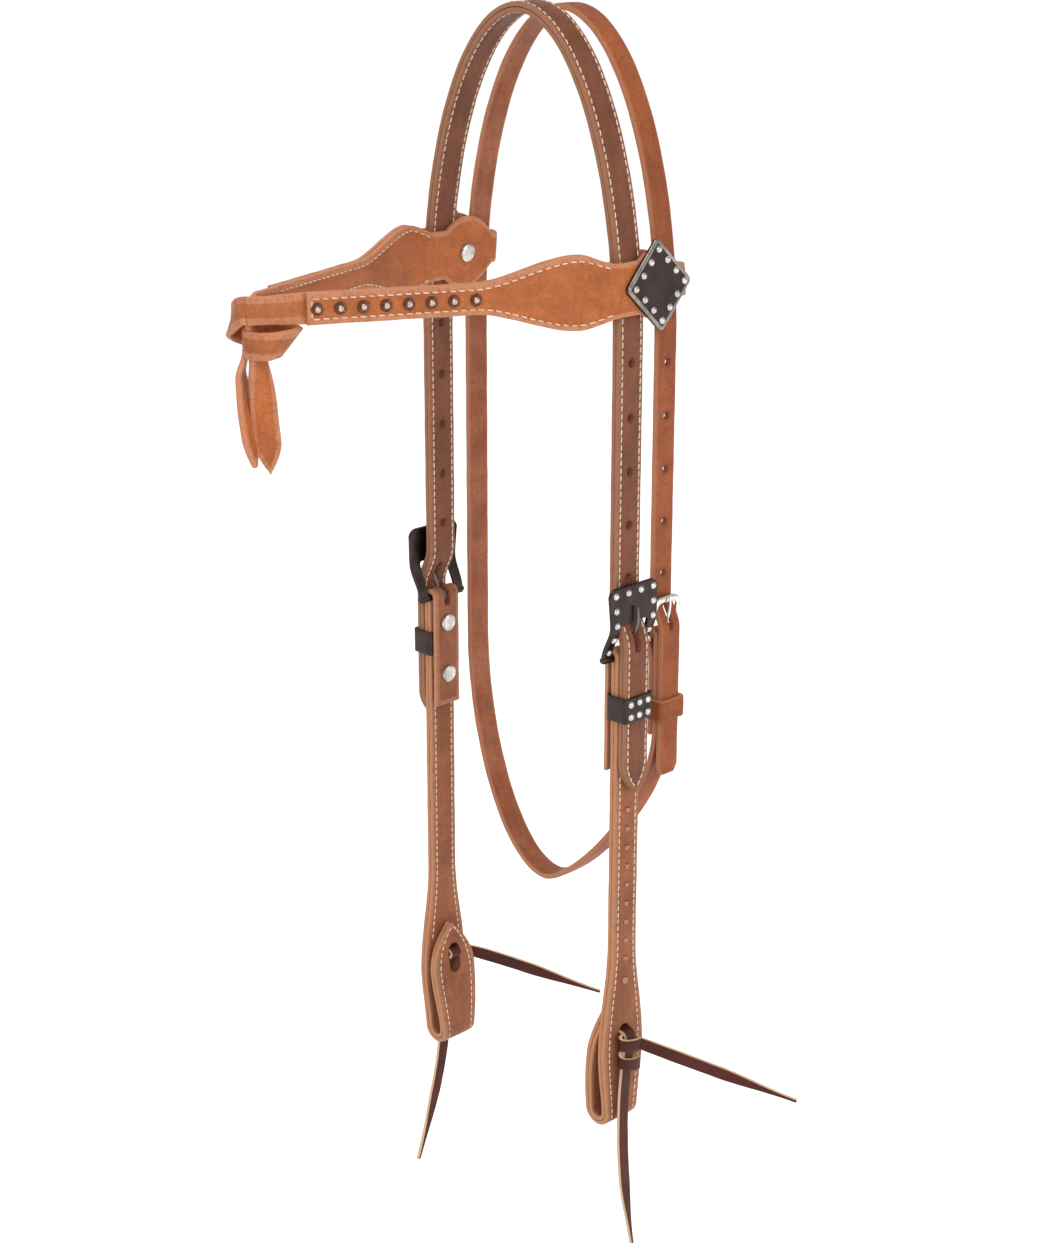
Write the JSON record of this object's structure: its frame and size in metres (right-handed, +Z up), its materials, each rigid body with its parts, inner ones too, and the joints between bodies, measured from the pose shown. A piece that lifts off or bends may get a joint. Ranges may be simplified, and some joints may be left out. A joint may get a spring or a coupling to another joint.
{
  "type": "western headstall",
  "caption": "Double-stitched leather headstall with buckled crown and cheeks, a knotted browband, conchos, a throatlatch and laced water ties.",
  "frame": {"origin": "underside of the crown strap at its highest point, where it lies over the horse's poll", "axes": "+X to the horse's left (near) side, -Y the way the horse faces, +Z up"},
  "size_m": [0.2055, 0.245, 0.6217],
  "materials": {
    "crown_leather": "oiled, burnished edges",
    "cheek_leather": "oiled, burnished edges",
    "browband_leather": "lightly oiled, raw edges",
    "throatlatch_leather": "oiled",
    "lace_leather": "waxed, pale cut edges",
    "dark_plate": "dark plated, satin",
    "silver_plate": "bright plated",
    "antique_spots": "antique silver over copper"
  },
  "bodies": {
    "headstall": {"crown_strap": "crown_leather", "crown_lining": "crown_leather", "throatlatch_strap": "throatlatch_leather", "throatlatch_screw": "silver_plate", "near_cheek_strap": "cheek_leather", "near_cheek_lining": "cheek_leather", "near_upper_cheek_screw": "silver_plate", "near_lower_cheek_screw": "silver_plate", "near_water_tie": "lace_leather", "far_cheek_strap": "cheek_leather", "far_cheek_lining": "cheek_leather", "far_upper_cheek_screw": "silver_plate", "far_lower_cheek_screw": "silver_plate", "far_water_tie": "lace_leather"},
    "browband": {"near_browband": "browband_leather", "near_browband_spot_1": "antique_spots", "near_browband_spot_2": "antique_spots", "near_browband_spot_3": "antique_spots", "near_browband_spot_4": "antique_spots", "near_browband_spot_5": "antique_spots", "near_browband_spot_6": "antique_spots", "near_browband_spot_7": "antique_spots", "near_browband_spot_8": "antique_spots", "near_concho": "dark_plate", "near_concho_screw": "silver_plate", "far_browband": "browband_leather", "far_browband_spot_1": "antique_spots", "far_browband_spot_2": "antique_spots", "far_browband_spot_3": "antique_spots", "far_browband_spot_4": "antique_spots", "far_browband_spot_5": "antique_spots", "far_browband_spot_6": "antique_spots", "far_browband_spot_7": "antique_spots", "far_browband_spot_8": "antique_spots", "far_concho": "dark_plate", "far_concho_screw": "silver_plate"},
    "near_buckle": {"near_buckle_frame": "dark_plate"},
    "near_tongue": {"near_buckle_tongue": "silver_plate"},
    "far_buckle": {"far_buckle_frame": "dark_plate"},
    "far_tongue": {"far_buckle_tongue": "silver_plate"},
    "throatlatch_buckle": {"throatlatch_buckle_frame": "silver_plate"},
    "throatlatch_tongue": {"throatlatch_buckle_tongue": "silver_plate"},
    "near_keeper": {"near_keeper": "dark_plate"},
    "far_keeper": {"far_keeper": "dark_plate"},
    "throatlatch_keeper": {"throatlatch_keeper": "throatlatch_leather"}
  },
  "joints": [
    {"name": "browband_slide", "type": "slide", "parent": "headstall", "child": "browband", "axis": [0, 0, 1], "range_m": [-0.006, 0.003]},
    {"name": "near_buckle_tilt", "type": "hinge", "parent": "headstall", "child": "near_buckle", "pos_m": [0.0635, 0, -0.291], "axis": [0, 1, 0], "range_deg": [0, 5]},
    {"name": "near_tongue_swing", "type": "hinge", "parent": "near_buckle", "child": "near_tongue", "pos_m": [0.0635, 0, -0.291], "axis": [0, 1, 0], "range_deg": [0, 8]},
    {"name": "far_buckle_tilt", "type": "hinge", "parent": "headstall", "child": "far_buckle", "pos_m": [-0.0635, 0, -0.291], "axis": [0, -1, 0], "range_deg": [0, 5]},
    {"name": "far_tongue_swing", "type": "hinge", "parent": "far_buckle", "child": "far_tongue", "pos_m": [-0.0635, 0, -0.291], "axis": [0, -1, 0], "range_deg": [0, 8]},
    {"name": "throatlatch_buckle_tilt", "type": "hinge", "parent": "headstall", "child": "throatlatch_buckle", "pos_m": [0.0635, 0.0254, -0.287], "axis": [0, 1, 0], "range_deg": [0, 5]},
    {"name": "throatlatch_tongue_swing", "type": "hinge", "parent": "throatlatch_buckle", "child": "throatlatch_tongue", "pos_m": [0.0635, 0.0254, -0.287], "axis": [0, 1, 0], "range_deg": [0, 8]},
    {"name": "near_keeper_slide", "type": "slide", "parent": "headstall", "child": "near_keeper", "axis": [0, 0, 1], "range_m": [-0.008, 0.0018]},
    {"name": "far_keeper_slide", "type": "slide", "parent": "headstall", "child": "far_keeper", "axis": [0, 0, 1], "range_m": [-0.008, 0.0018]},
    {"name": "throatlatch_keeper_slide", "type": "slide", "parent": "headstall", "child": "throatlatch_keeper", "axis": [0, 0, 1], "range_m": [-0.006, 0.007]}
  ]
}
